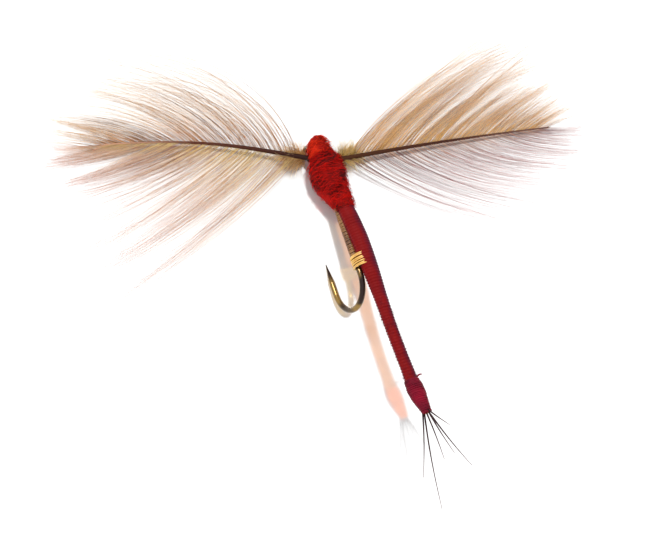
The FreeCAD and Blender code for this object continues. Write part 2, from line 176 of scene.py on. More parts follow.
def sweep(name, centres, radii, sides, material, ridge=None):
    """A closed tube through centres in metres; ridge(ring, angle) adds to the radius.

    Its points know how far along and round it they are, and how far they face down.
    """
    verts = []
    faces = []
    along = []
    around = []
    belly = []
    last_ring = len(centres) - 1
    up = FLY_TURN @ Vector((0.0, 0.0, 1.0))
    for i, centre in enumerate(centres):
        ahead = (centres[min(i + 1, last_ring)] - centres[max(i - 1, 0)]).normalized()
        across = ahead.cross(up).normalized()
        over = across.cross(ahead).normalized()
        for k in range(sides):
            angle = 2 * math.pi * k / sides
            radius = radii[i] + (ridge(i, angle) if ridge else 0.0)
            rim = across * math.cos(angle) + over * math.sin(angle)
            verts.append(centre + rim * radius)
            along.append(i / last_ring)
            around.append(k / sides)
            belly.append(-rim.z)
        if i:
            low = (i - 1) * sides
            high = i * sides
            for k in range(sides):
                nxt = (k + 1) % sides
                faces.append((low + k, high + k, high + nxt, low + nxt))
    faces.append(tuple(range(sides)))
    faces.append(tuple(range(len(verts) - 1, len(verts) - sides - 1, -1)))
    attributes = {"along": along, "around": around, "belly": belly}
    return mesh_object(name, verts, faces, material, attributes)


def mark_belly(piece, start, end):
    """Record how far each point faces down, seen from the line between two points."""
    line = (end - start).normalized()
    values = []
    for vertex in piece.data.vertices:
        offset = vertex.co - start
        offset -= line * offset.dot(line)
        values.append(-offset.normalized().z)
    store(piece.data, "belly", values)


def smooth_between(stations, place):
    """Values of a table of stations at a place, eased with a Catmull-Rom curve."""
    places = [station[0] for station in stations]
    index = max(0, min(len(places) - 2, int(np.searchsorted(places, place)) - 1))
    share = (place - places[index]) / (places[index + 1] - places[index])
    share = min(max(share, 0.0), 1.0)
    near = stations[index]
    far = stations[index + 1]
    before = stations[max(index - 1, 0)]
    after = stations[min(index + 2, len(places) - 1)]
    result = []
    for a, b, c, d in zip(before[1:], near[1:], far[1:], after[1:]):
        result.append(0.5 * (2 * b + (c - a) * share + (2 * a - 5 * b + 4 * c - d) * share ** 2
                             + (3 * b - a - 3 * c + d) * share ** 3))
    return result


# ---------------------------------------------------------------- materials

BLACK = (0.0, 0.0, 0.0)
WHITE = (1.0, 1.0, 1.0)
# Depths of the surface grain, in metres.
FUR_BUMP = 0.06 * MM
FIBRE_BUMP = 0.02 * MM
# A colour mix node's factor and two colours among its inputs, and the colour among its outputs.
MIX_INPUTS = (0, 6, 7)
MIX_RESULT = 2


class Nodes:
    """A short way to build one material's node tree."""

    def __init__(self, name):
        self.material = bpy.data.materials.new(name)
        self.material.use_nodes = True
        self.tree = self.material.node_tree
        self.tree.nodes.clear()

    def feed(self, socket, value):
        """Give a socket a plain value or another node's output."""
        if isinstance(value, bpy.types.NodeSocket):
            self.tree.links.new(value, socket)
        else:
            socket.default_value = value

    def add(self, kind, *ordered, **named):
        """A node, with values for its first sockets in order and for others by name."""
        node = self.tree.nodes.new(kind)
        for socket, value in zip(node.inputs, ordered):
            self.feed(socket, value)
        for key, value in named.items():
            self.feed(node.inputs[key.replace("_", " ")], value)
        return node

    def attribute(self, name):
        """A point attribute's value."""
        node = self.add("ShaderNodeAttribute")
        node.attribute_name = name
        return node.outputs["Fac"]

    def ramp(self, value, *stops):
        """Colours along a value, from stops that are each a place and a colour."""
        node = self.add("ShaderNodeValToRGB", value)
        elements = node.color_ramp.elements
        while len(elements) < len(stops):
            elements.new(0.5)
        for element, (place, colour) in zip(elements, stops):
            element.position = place
            element.color = (*colour, 1.0)
        return node.outputs["Color"]

    def math(self, operation, a, b):
        """One arithmetic step."""
        node = self.add("ShaderNodeMath", a, b)
        node.operation = operation
        return node.outputs[0]

    def mix(self, share, a, b):
        """A colour part-way from a to b."""
        node = self.add("ShaderNodeMix")
        node.data_type = "RGBA"
        for index, value in zip(MIX_INPUTS, (share, a, b)):
            self.feed(node.inputs[index], value)
        return node.outputs[MIX_RESULT]

    def noise(self, scale, detail):
        """Noise over the object's own coordinates; scale is in cells per metre."""
        place = self.add("ShaderNodeTexCoord")
        node = self.add("ShaderNodeTexNoise", Vector=place.outputs["Object"], Scale=scale, Detail=detail)
        return node.outputs["Fac"]

    def bump(self, height, distance, strength):
        """A bump from a height."""
        node = self.add("ShaderNodeBump", Height=height, Distance=distance, Strength=strength)
        return node.outputs["Normal"]

    def finish(self, shader):
        """Connect the surface and return the material."""
        output = self.add("ShaderNodeOutputMaterial")
        self.tree.links.new(shader.outputs[0], output.inputs["Surface"])
        return self.material


def fur_material(name, dark, light):
    """Dyed dubbed fur: matt, with paler strands and uneven dye."""
    nodes = Nodes(name)
    patch = nodes.noise(900.0, 4.0)
    tone = nodes.math("ADD", nodes.math("MULTIPLY", nodes.attribute("tone"), 0.6), patch)
    colour = nodes.ramp(nodes.math("MULTIPLY", tone, 0.75), (0.34, dark), (0.66, light))
    grain = nodes.bump(nodes.noise(9000.0, 8.0), FUR_BUMP, 0.8)
    shader = nodes.add("ShaderNodeBsdfPrincipled", Base_Color=colour, Roughness=0.75, Normal=grain)
    shader.inputs["Specular IOR Level"].default_value = 0.10
    shader.inputs["Sheen Weight"].default_value = 0.08
    shader.inputs["Sheen Roughness"].default_value = 0.4
    shader.inputs["Sheen Tint"].default_value = (*light, 1.0)
    return nodes.finish(shader)


def thread_material(name, dark, light, specular, roughness, under=None):
    """Wound thread: fine fibres across the turns, a soft shine and, if given, painted light: a paler
    underside, as if lit by the bright board.
    """
    nodes = Nodes(name)
    patch = nodes.noise(700.0, 3.0)
    fibre = nodes.noise(14000.0, 2.0)
    share = nodes.math("ADD", nodes.math("MULTIPLY", patch, 0.7), nodes.math("MULTIPLY", fibre, 0.3))
    colour = nodes.ramp(share, (0.30, dark), (0.68, light))
    # Painted light: the paler underside colour, on the points that face down.
    if under:
        painted_belly_mask = nodes.ramp(nodes.attribute("belly"), (0.30, BLACK), (0.60, WHITE))
        colour = nodes.mix(painted_belly_mask, colour, (*under, 1.0))
    grain = nodes.bump(fibre, FIBRE_BUMP, 0.5)
    shader = nodes.add("ShaderNodeBsdfPrincipled", Base_Color=colour, Roughness=roughness, Normal=grain)
    shader.inputs["Specular IOR Level"].default_value = specular
    return nodes.finish(shader)


def floss_material():
    """Deep red floss, maroon down the fly's right side, with painted light on the underside: pale tan, as if
    lit by the bright board, so that its reflection shows a lit peach band.
    """
    nodes = Nodes("red_floss_wound")
    red = (0.19, 0.0012, 0.001)
    maroon = (0.065, 0.001, 0.018)
    shade = (0.055, 0.001, 0.004, 1.0)
    # The painted underside light: pale tan, and a deeper red-brown.
    tan = (0.84, 0.36, 0.10, 1.0)
    deep_belly_light = (0.42, 0.14, 0.04, 1.0)
    patch = nodes.noise(1100.0, 4.0)
    uneven = nodes.math("MULTIPLY", nodes.math("SUBTRACT", patch, 0.5), 0.14)
    edge = nodes.math("ADD", nodes.attribute("around"), uneven)
    top = nodes.ramp(edge, (0.0, red), (0.20, red), (0.34, maroon), (0.52, maroon), (0.90, red))
    top = nodes.mix(nodes.math("MULTIPLY", patch, 0.45), top, shade)
    # Painted light: the underside in pale tan and red-brown, as if lit by the board below.
    under = nodes.mix(nodes.math("MULTIPLY", patch, 0.55), tan, deep_belly_light)
    # Where the painted underside light shows: the points that face down.
    painted_belly_mask = nodes.ramp(nodes.attribute("belly"), (0.15, BLACK), (0.45, WHITE))
    colour = nodes.mix(painted_belly_mask, top, under)
    grain = nodes.bump(nodes.noise(16000.0, 2.0), FIBRE_BUMP, 0.6)
    shader = nodes.add("ShaderNodeBsdfPrincipled", Base_Color=colour, Roughness=0.5, Normal=grain)
    shader.inputs["Specular IOR Level"].default_value = 0.10
    return nodes.finish(shader)


def hook_material():
    """Bronzed wire: a dark brown lacquer over gold, thin in places; the gold also stands for painted light:
    glints in those spots, a painted highlight at grazing edges and painted light on the underside.
    """
    nodes = Nodes("bronzed_wire")
    # Random gold spots: lacquer worn thin, and partly painted glints.
    wear_and_painted_glint = nodes.ramp(nodes.noise(650.0, 3.0), (0.50, BLACK), (0.66, WHITE))
    # Painted highlight: gold towards the edges that are seen edge-on.
    layer = nodes.add("ShaderNodeLayerWeight", Blend=0.35)
    rim = nodes.math("MULTIPLY", nodes.math("POWER", layer.outputs["Facing"], 2.5), 0.8)
    # Painted light: gold on the underside, as if lit by the bright board below.
    shape = nodes.add("ShaderNodeNewGeometry")
    split = nodes.add("ShaderNodeSeparateXYZ", shape.outputs["Normal"])
    facing_down = nodes.math("MULTIPLY", split.outputs["Z"], -1.0)
    under = nodes.ramp(facing_down, (0.1, BLACK), (0.6, (0.8, 0.8, 0.8)))
    # How much gold shows: worn spots with painted glints, the painted edge highlight and the painted
    # underside light.
    share = nodes.math("MAXIMUM", nodes.math("MAXIMUM", nodes.math("MULTIPLY", wear_and_painted_glint, 0.45), rim), under)
    colour = nodes.mix(share, (0.020, 0.008, 0.006, 1.0), (0.55, 0.33, 0.07, 1.0))
    rough = nodes.math("ADD", nodes.math("MULTIPLY", nodes.noise(12000.0, 2.0), 0.18), 0.12)
    shader = nodes.add("ShaderNodeBsdfPrincipled", Base_Color=colour, Roughness=rough, Metallic=0.92)
    shader.inputs["Coat Weight"].default_value = 0.35
    shader.inputs["Coat Roughness"].default_value = 0.08
    return nodes.finish(shader)


def barb_material(name, root, middle, tip, streak):
    """Feather barbs that light shines through; some are darker, most of all near the stem."""
    nodes = Nodes(name)
    along = nodes.attribute("along")
    colour = nodes.ramp(along, (0.02, root), (0.35, middle), (0.90, tip))
    dark_share = nodes.ramp(nodes.attribute("tone"), (0.40, BLACK), (0.85, WHITE))
    near_stem = nodes.math("SUBTRACT", 1.0, nodes.math("MULTIPLY", along, 0.85))
    share = nodes.math("MULTIPLY", nodes.math("MULTIPLY", dark_share, near_stem), nodes.noise(420.0, 2.0))
    colour = nodes.mix(nodes.math("MULTIPLY", share, 2.1), colour, (*streak, 1.0))
    surface = nodes.add("ShaderNodeBsdfPrincipled", Base_Color=colour, Roughness=0.55)
    surface.inputs["Specular IOR Level"].default_value = 0.25
    glow = nodes.add("ShaderNodeBsdfTranslucent", Color=colour)
    shader = nodes.add("ShaderNodeMixShader", 0.58, surface.outputs[0], glow.outputs[0])
    return nodes.finish(shader)


def horn_material(name, root, middle, tip):
    """Stem or stiff fibre: smooth keratin that changes from root to tip."""
    nodes = Nodes(name)
    streak = nodes.noise(5000.0, 3.0)
    colour = nodes.ramp(nodes.attribute("along"), (0.0, root), (0.55, middle), (1.0, tip))
    colour = nodes.mix(nodes.math("MULTIPLY", streak, 0.35), colour, (*root, 1.0))
    grain = nodes.bump(streak, FIBRE_BUMP, 0.4)
    shader = nodes.add("ShaderNodeBsdfPrincipled", Base_Color=colour, Roughness=0.38, Normal=grain)
    shader.inputs["Specular IOR Level"].default_value = 0.10
    return nodes.finish(shader)


def line_material():
    """Clear monofilament with a faint amber tint."""
    nodes = Nodes("core_line_clear")
    tint = nodes.ramp(nodes.noise(2000.0, 4.0), (0.3, (0.70, 0.62, 0.48)), (0.7, (0.82, 0.76, 0.64)))
    shader = nodes.add("ShaderNodeBsdfPrincipled", Base_Color=tint, Roughness=0.2)
    shader.inputs["Transmission Weight"].default_value = 0.5
    return nodes.finish(shader)


def floor_material():
    """White glazed board: part matt white, and for the most part a slightly blurred mirror."""
    nodes = Nodes("white_gloss_board")
    white = nodes.add("ShaderNodeBsdfDiffuse", Color=(0.93, 0.93, 0.93, 1.0))
    gloss = nodes.add("ShaderNodeBsdfGlossy", Color=(0.96, 0.96, 0.96, 1.0), Roughness=0.10)
    shader = nodes.add("ShaderNodeMixShader", 0.70, white.outputs[0], gloss.outputs[0])
    return nodes.finish(shader)


# Fur and thread: dark and light dye. Horn: root, middle and tip. Down and barbs: root, middle, tip
# and the darker streak.
HOOK = hook_material()
RED_FUR = fur_material("red_dubbing_fur", (0.065, 0.001, 0.001), (0.58, 0.005, 0.002))
HEAD_FUR = fur_material("head_dubbing_fur", (0.22, 0.002, 0.001), (0.76, 0.030, 0.006))
FLOSS = floss_material()
# The red thread's last colour is painted light on its underside, as if lit by the board below.
RED_THREAD = thread_material("magenta_thread", (0.045, 0.001, 0.008), (0.24, 0.002, 0.018),
                             specular=0.12, roughness=0.5, under=(0.86, 0.27, 0.075))
GOLD_THREAD = thread_material("gold_binding_thread", (0.36, 0.13, 0.02), (0.95, 0.60, 0.11),
                              specular=0.9, roughness=0.25)
TAN_THREAD = thread_material("tan_thread_waxed", (0.075, 0.024, 0.008), (0.42, 0.20, 0.055),
                             specular=0.6, roughness=0.3)
QUILL_COLOURS = {
    "left": ((0.018, 0.004, 0.002), (0.085, 0.022, 0.010), (0.62, 0.34, 0.21)),
    "right": ((0.050, 0.016, 0.004), (0.040, 0.010, 0.007), (0.15, 0.070, 0.05)),
}
QUILLS = {side: horn_material(f"{side}_quill_horn", *dyes) for side, dyes in QUILL_COLOURS.items()}
TAIL = horn_material("tail_fibre_horn", (0.020, 0.004, 0.006), (0.035, 0.010, 0.012), (0.10, 0.045, 0.035))
LINE = line_material()
DOWN_COLOURS = {
    "left": ((0.66, 0.30, 0.08), (0.86, 0.52, 0.18), (0.95, 0.78, 0.46), (0.28, 0.11, 0.04)),
    "right": ((0.62, 0.38, 0.10), (0.90, 0.66, 0.22), (0.96, 0.82, 0.48), (0.18, 0.10, 0.03)),
}
DOWNS = {side: barb_material(f"{side}_root_down", *dyes) for side, dyes in DOWN_COLOURS.items()}
BARB_COLOURS = {
    "left_front": ((0.72, 0.36, 0.12), (0.95, 0.71, 0.43), (0.95, 0.81, 0.64), (0.24, 0.070, 0.018)),
    "left_rear": ((0.96, 0.79, 0.33), (0.96, 0.77, 0.54), (0.93, 0.78, 0.73), (0.46, 0.19, 0.13)),
    "right_front": ((0.90, 0.60, 0.20), (0.94, 0.71, 0.38), (0.94, 0.77, 0.58), (0.40, 0.14, 0.040)),
    "right_rear": ((0.76, 0.48, 0.30), (0.74, 0.49, 0.47), (0.86, 0.66, 0.64), (0.24, 0.08, 0.09)),
}
BARBS = {vane: barb_material(f"{vane}_barb", *dyes) for vane, dyes in BARB_COLOURS.items()}


# ---------------------------------------------------------------- setting

LENS = 100.0
SENSOR = 36.0
VIEW_WIDTH = 46.55
AIM = Vector((1.335, -0.43, 0.0))
TOWARD_CAMERA = Vector((-0.096, -0.100, 0.990)).normalized()
# The rest of the setting is in metres.
NEAREST_SEEN = 0.005
BOARD_HALF = 0.35
ROOM_LIGHT = 1.22
LAMP_PLACE = (-0.05, 0.07, 0.13)
LAMP_SIZE = (0.05, 0.03)
LAMP_POWER = 0.10


def make_camera():
    """A long lens nearly overhead, as far off as makes the view VIEW_WIDTH wide."""
    away = VIEW_WIDTH * LENS / SENSOR
    camera = bpy.data.objects.new("camera", bpy.data.cameras.new("camera"))
    camera.data.lens = LENS
    camera.data.sensor_width = SENSOR
    camera.data.clip_start = NEAREST_SEEN
    place = (AIM + TOWARD_CAMERA * away) * MM
    right = Vector((0.0, 1.0, 0.0)).cross(TOWARD_CAMERA).normalized()
    up = TOWARD_CAMERA.cross(right)
    heading = Matrix((right, up, TOWARD_CAMERA)).transposed().to_4x4()
    camera.matrix_world = Matrix.Translation(place) @ heading
    bpy.context.scene.collection.objects.link(camera)
    bpy.context.scene.camera = camera


def make_board():
    """The white glossy board that the fly lies on."""
    corners = [(BOARD_HALF * x, BOARD_HALF * y, 0.0) for x, y in ((-1, -1), (1, -1), (1, 1), (-1, 1))]
    board = mesh_object("white_board", corners, [(0, 1, 2, 3)], floor_material(), smooth=False)


def make_light():
    """An even white room and one small soft lamp."""
    world = bpy.data.worlds.new("white_room")
    world.use_nodes = True
    background = world.node_tree.nodes["Background"]
    background.inputs["Color"].default_value = (*WHITE, 1.0)
    background.inputs["Strength"].default_value = ROOM_LIGHT
    bpy.context.scene.world = world

    key = bpy.data.lights.new("key", "AREA")
    key.shape = "RECTANGLE"
    key.size, key.size_y = LAMP_SIZE
    key.energy = LAMP_POWER
    lamp = bpy.data.objects.new("key", key)
    lamp.location = LAMP_PLACE
    lamp.rotation_euler = (-lamp.location).to_track_quat("-Z", "Y").to_euler()
    bpy.context.scene.collection.objects.link(lamp)
    bpy.context.scene.view_settings.view_transform = "Standard"


# ---------------------------------------------------------------- wings

# Along the stem as a share of it: barb length, and its heading from the stem in degrees where it
# leaves the stem and at its tip.
VANES = {
    "left_front": (
        (0.03, 15.4, 70, -1), (0.20, 13.6, 57, -2), (0.45, 10.2, 40, -1), (0.75, 7.0, 26, 1),
        (1.0, 3.6, 9, 1),
    ),
    "left_rear": (
        (0.03, 16.6, 53, 34), (0.15, 15.8, 50, 32), (0.35, 13.6, 43, 26), (0.60, 10.0, 33, 18),
        (0.85, 6.1, 21, 9), (1.0, 3.6, 8, 3),
    ),
    "right_front": (
        (0.03, 14.8, 46, 11), (0.20, 13.0, 44, 14), (0.45, 9.9, 42, 18), (0.75, 5.8, 39, 22),
        (1.0, 2.5, 18, 8),
    ),
    "right_rear": (
        (0.03, 11.8, 45, 25), (0.25, 11.4, 43, 16), (0.55, 9.4, 39, 9), (0.82, 5.8, 31, 6),
        (1.0, 2.5, 10, 4),
    ),
}
# Main barbs, soft strands between them, how far the clumps part, the scatter in degrees, and the
# main barbs' least and greatest radius.
GROWTH = {
    "left_front": {"main": 88, "soft": 220, "parting": 1.5, "scatter": 5.0, "radius": (0.015, 0.022)},
    "left_rear": {"main": 104, "soft": 420, "parting": 1.6, "scatter": 4.5, "radius": (0.015, 0.022)},
    "right_front": {"main": 100, "soft": 540, "parting": 1.9, "scatter": 6.0, "radius": (0.015, 0.022)},
    "right_rear": {"main": 88, "soft": 90, "parting": 0.4, "scatter": 2.0, "radius": (0.017, 0.023)},
}
FIRST_BARB = 0.03
LAST_SOFT_BARB = 0.94
BARB_JITTER = 0.4
BARB_STEPS = 14
BARB_TAPER = 0.66
BARB_EASE = 0.8
LIFT_SCATTER = 0.15
LEAVE_SCATTER = 0.35
MOST_STRAY = 9.0
# The main barbs and the soft ones: share of the vane's length, share of its scatter, and tone.
MAIN_BARB = {"reach": (0.84, 1.05), "scatter": 0.5, "tone": (0.35, 1.0)}
SOFT_BARB = {"reach": (0.45, 1.0), "scatter": 0.9, "tone": (0.0, 0.75)}
SOFT_RADIUS = (0.007, 0.012)
# A clump of barbs: its turn as a share of the scatter, how much of that the barbs have where they
# leave the stem, how they gather, and the ranges of its pull, reach, lift and width along the stem.
CLUMP_TURN = 0.7
CLUMP_TURN_AT_STEM = 0.3
CLUMP_GATHER = 170.0
CLUMP_PULL = (0.4, 1.0)
CLUMP_REACH = (0.82, 1.04)
CLUMP_LIFT = (-0.25, 0.50)
CLUMP_WIDTH = (0.045, 0.095)
# The least height of a barb or hair over the board, in metres.
FLOOR_ROOM = 0.04 * MM

# The stem's end inside the thorax, its radius and shape, and how many steps and sides it has.
STEM_INNER = -0.55
STEM_RADIUS = 0.19
STEM_TAPER = 0.145
STEM_DIP = 0.06
STEM_STEPS = 60
STEM_SIDES = 12

# Down: spreads and scatters are standard deviations, and angles from the stem are in degrees,
# except the curl, which is in radians.
DOWN_STRANDS = 760
DOWN_STEPS = 6
DOWN_INSET = 0.05
DOWN_WIDTH = 0.22
DOWN_LEAN = {"left": 0.0, "right": 0.35}
DOWN_SPREAD = 0.50
DOWN_PLACE_SPREAD = 0.55
DOWN_SPLAY = 60.0
DOWN_MOST_SPLAY = 75.0
DOWN_SPLAY_SCATTER = 14.0
DOWN_LENGTH = (0.35, 1.25)
DOWN_CURL = 0.55
DOWN_HEIGHT = (-0.30, 0.04)
DOWN_RISE = (-0.45, 0.30)


def above_floor(point):
    """The point, lifted clear of the board if it lies lower."""
    point.z = max(point.z, FLOOR_ROOM)
    return point


def barb_path(side, sign, start, length, leave, arrive, lift):
    """A barb's points: it leaves the stem steeply and bends towards the wing tip."""
    u = start
    v = quill_bow(side, start)
    points = []
    for step in range(BARB_STEPS + 1):
        share = step / BARB_STEPS
        points.append(above_floor(wing_point(side, u, v, lift * share * share)))
        heading = math.radians(leave + (arrive - leave) * share ** BARB_EASE) * sign
        u += math.cos(heading) * length / BARB_STEPS
        v += math.sin(heading) * length / BARB_STEPS
    return points


def make_clumps(rng, growth):
    """The locks that a vane's barbs gather in, each with its place, turn, pull, reach and lift."""
    clumps = []
    place = 0.0
    while place < 1.0:
        clumps.append({
            "place": place,
            "turn": rng.gauss(0.0, growth["scatter"] * CLUMP_TURN),
            "pull": rng.uniform(*CLUMP_PULL) * growth["parting"],
            "reach": rng.uniform(*CLUMP_REACH),
            "lift": rng.uniform(*CLUMP_LIFT),
        })
        place += rng.uniform(*CLUMP_WIDTH)
    return clumps


def barb_starts(rng, growth):
    """Where along the stem each barb starts, and its kind: main barbs evenly, soft ones anywhere."""
    starts = []
    for number in range(growth["main"]):
        even = (number + rng.uniform(-BARB_JITTER, BARB_JITTER)) / growth["main"]
        start = FIRST_BARB + (1.0 - FIRST_BARB) * even
        starts.append((min(max(start, FIRST_BARB), 1.0), MAIN_BARB))
    for _ in range(growth["soft"]):
        starts.append((rng.uniform(FIRST_BARB, LAST_SOFT_BARB), SOFT_BARB))
    return starts


def make_vane(side, place, rng):
    """One side of a wing: main barbs and finer strands, gathered in locks."""
    key = f"{side}_{place}"
    growth = GROWTH[key]
    scatter = growth["scatter"]
    sign = 1 if place == "front" else -1
    columns = np.array(VANES[key], dtype=float).transpose()
    clumps = make_clumps(rng, growth)
    barbs = Strands()
    for share, kind in barb_starts(rng, growth):
        length, leave, arrive = (np.interp(share, columns[0], column) for column in columns[1:])
        clump = min(clumps, key=lambda lock: abs(lock["place"] - share))
        gather = (share - clump["place"]) * CLUMP_GATHER * clump["pull"]
        length *= clump["reach"] * rng.uniform(*kind["reach"])
        leave += clump["turn"] * CLUMP_TURN_AT_STEM + rng.gauss(0.0, scatter * LEAVE_SCATTER)
        stray = clump["turn"] + gather + rng.gauss(0.0, scatter * kind["scatter"])
        arrive += min(max(stray, -MOST_STRAY), MOST_STRAY)
        lift = clump["lift"] + rng.uniform(-LIFT_SCATTER, LIFT_SCATTER)
        path = barb_path(side, sign, share * WINGS[side]["length"], length, leave, arrive, lift)
        radius = rng.uniform(*(growth["radius"] if kind is MAIN_BARB else SOFT_RADIUS))
        barbs.add(path, taper(radius, radius * BARB_TAPER, BARB_STEPS), rng.uniform(*kind["tone"]))
    vane = barbs.make(f"{key}_barbs", BARBS[key])
    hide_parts(f"{key}_vane")
    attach(vane, f"{side}_wing")


def make_quill(side):
    """The curved, tapered stem, running back into the thorax."""
    centres = []
    radii = []
    for step in range(STEM_STEPS + 1):
        share = step / STEM_STEPS
        u = STEM_INNER + (WINGS[side]["length"] - STEM_INNER) * share
        centres.append(wing_point(side, u, quill_bow(side, u), -STEM_DIP * math.sin(math.pi * share)))
        radii.append((STEM_RADIUS - STEM_TAPER * share ** 0.8) * MM)
    quill = sweep(f"{side}_stem", centres, radii, STEM_SIDES, QUILLS[side])
    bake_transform(quill)
    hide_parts(f"{side}_quill")


def make_down(side, rng):
    """Soft dense down at the root of the feather, longest beside the stem."""
    tuft = Strands()
    for _ in range(DOWN_STRANDS):
        u = abs(rng.gauss(0.0, DOWN_PLACE_SPREAD)) - DOWN_INSET
        around = rng.gauss(DOWN_LEAN[side], DOWN_SPREAD)
        splay = max(min(around * DOWN_SPLAY, DOWN_MOST_SPLAY), -DOWN_MOST_SPLAY)
        heading = math.radians(splay + rng.gauss(0.0, DOWN_SPLAY_SCATTER))
        length = rng.uniform(*DOWN_LENGTH)
        curl = rng.gauss(0.0, DOWN_CURL)
        v = around * DOWN_WIDTH
        w = rng.uniform(*DOWN_HEIGHT)
        rise = rng.uniform(*DOWN_RISE)
        path = []
        for _ in range(DOWN_STEPS + 1):
            path.append(wing_point(side, u, v, w))
            heading += curl / DOWN_STEPS
            u += math.cos(heading) * length / DOWN_STEPS
            v += math.sin(heading) * length / DOWN_STEPS
            w += rise * length / (2 * DOWN_STEPS)
        tuft.add(path, taper(0.017, 0.011, DOWN_STEPS), rng.random())
    down = tuft.make(f"{side}_root_down", DOWNS[side])
    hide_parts(f"{side}_fluff")
    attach(down, f"{side}_wing")


# ---------------------------------------------------------------- head, thorax and abdomen

# Bodies wound round the shank: place along it, the middle's offset to the right and up, and radius.
HEAD_STATIONS = (
    (-0.95, 0.00, 0.36, 0.02), (-0.84, 0.00, 0.36, 0.34), (-0.60, 0.00, 0.33, 0.55),
    (-0.20, -0.02, 0.28, 0.72), (0.20, -0.02, 0.22, 0.80), (0.60, 0.00, 0.16, 0.80),
)
THORAX_STATIONS = (
    (0.30, 0.06, 0.18, 0.80), (1.00, 0.18, 0.08, 1.09), (1.80, 0.16, 0.02, 1.23), (2.60, 0.10, 0.03, 1.17),
    (3.40, 0.16, 0.12, 0.97), (4.20, 0.27, 0.28, 0.77), (4.90, 0.35, 0.42, 0.60),
)
ABDOMEN_STATIONS = (
    (4.40, 0.28, 0.40, 0.57), (5.60, 0.38, 0.48, 0.60), (7.20, 0.49, 0.55, 0.61),
    (9.40, 0.53, 0.56, 0.57), (11.80, 0.58, 0.50, 0.46), (14.20, 0.66, 0.40, 0.42),
    (16.40, 0.85, 0.25, 0.42), (18.10, 1.04, 0.09, 0.46), (19.50, 1.32, -0.06, 0.46),
)
TAIL_BINDING = (
    (17.75, 1.00, 0.12, 0.47), (18.25, 1.09, 0.07, 0.54), (18.80, 1.19, 0.02, 0.52),
    (19.40, 1.33, -0.05, 0.41), (20.05, 1.50, -0.10, 0.29),
)

# Slow waves that make a dubbed body lumpy, and the loose hairs that stand out of it.
LUMP_COUNT = 9
LUMP_PACE = (2.0, 9.0)
MOST_LUMP_TURNS = 5
LUMP_SHIFT = (0, 6.3)
LUMP_SIZE = (0.010, 0.030)
FUR_RINGS = 64
FUR_SIDES = 40
LEAST_FUR_RADIUS = 0.02
HAIR_STEPS = 5
HAIR_SPREAD = 0.24
HAIR_LEAST = 0.16
HAIR_LEAN = (0.2, 1.6)
HAIR_SWEEP = (-0.3, 0.9)
HAIR_SINK = 0.05
HAIR_RISE = 0.55
HAIR_END_ROOM = (0.08, 0.05)

# The floss ends inside the tail's binding; the stretch either side of its hinge is given, but the floss is
# not bent over it.
FLOSS_END = 17.9
FLOSS_PITCH = 0.21
FLOSS_RINGS_PER_TURN = 9
FLOSS_SWELL = (0.6, 1.5)
FLOSS_RIDGE = 0.045
FLOSS_SIDES = 36
ABDOMEN_HINGE = 9.65
ABDOMEN_BEND = 0.6
STRAY_COUNT = 150
STRAY_STEPS = 4
STRAY_FROM = 11.9
STRAY_END_ROOM = 0.4
STRAY_LENGTH = (0.10, 0.30)


def body_point(stations, place, angle, swell=0.0):
    """A point on a wound body: place along the shank and angle round it, in metres."""
    y, z, radius = smooth_between(stations, place)
    reach = radius + swell
    return fly_point(place, y + reach * math.cos(angle), z + reach * math.sin(angle))


def make_fur_core(name, stations, node, material, rng):
    """The dense lumpy middle of a dubbed body."""
    first = stations[0][0]
    last = stations[-1][0]
    lumps = []
    for _ in range(LUMP_COUNT):
        lumps.append((rng.uniform(*LUMP_PACE), rng.randint(1, MOST_LUMP_TURNS), rng.uniform(*LUMP_SHIFT),
                      rng.uniform(*LUMP_SIZE)))
    places = [first + (last - first) * ring / FUR_RINGS for ring in range(FUR_RINGS + 1)]
    centres = []
    radii = []
    for place in places:
        y, z, radius = smooth_between(stations, place)
        centres.append(fly_point(place, y, z))
        radii.append(max(radius, LEAST_FUR_RADIUS) * MM)

    def lump(ring, angle):
        """Uneven fur: a few slow waves round and along the body."""
        return sum(size * math.sin(places[ring] * pace + turns * angle + shift)
                   for pace, turns, shift, size in lumps) * MM

    core = sweep(f"{name}_core", centres, radii, FUR_SIDES, material, lump)
    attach(core, "root")
    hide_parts(node)


def make_fur_hairs(name, stations, material, hairs, rng):
    """The loose hairs that stand out of a dubbed body."""
    first = stations[0][0]
    last = stations[-1][0]
    fuzz = Strands()
    for _ in range(hairs):
        place = rng.uniform(first + HAIR_END_ROOM[0], last - HAIR_END_ROOM[1])
        angle = rng.uniform(0.0, 2 * math.pi)
        length = abs(rng.gauss(0.0, HAIR_SPREAD)) + HAIR_LEAST
        lean = rng.uniform(*HAIR_LEAN) * rng.choice((-1, 1))
        sweep_back = rng.uniform(*HAIR_SWEEP)
        path = []
        for step in range(HAIR_STEPS + 1):
            share = step / HAIR_STEPS
            spot = min(max(place + sweep_back * length * share, first), last)
            swell = -HAIR_SINK + length * HAIR_RISE * share * (1.25 - 0.5 * share)
            path.append(above_floor(body_point(stations, spot, angle + lean * length * share, swell)))
        fuzz.add(path, taper(0.020, 0.013, HAIR_STEPS), rng.random())
    hair = fuzz.make(f"{name}_hairs", material)
    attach(hair, "root")


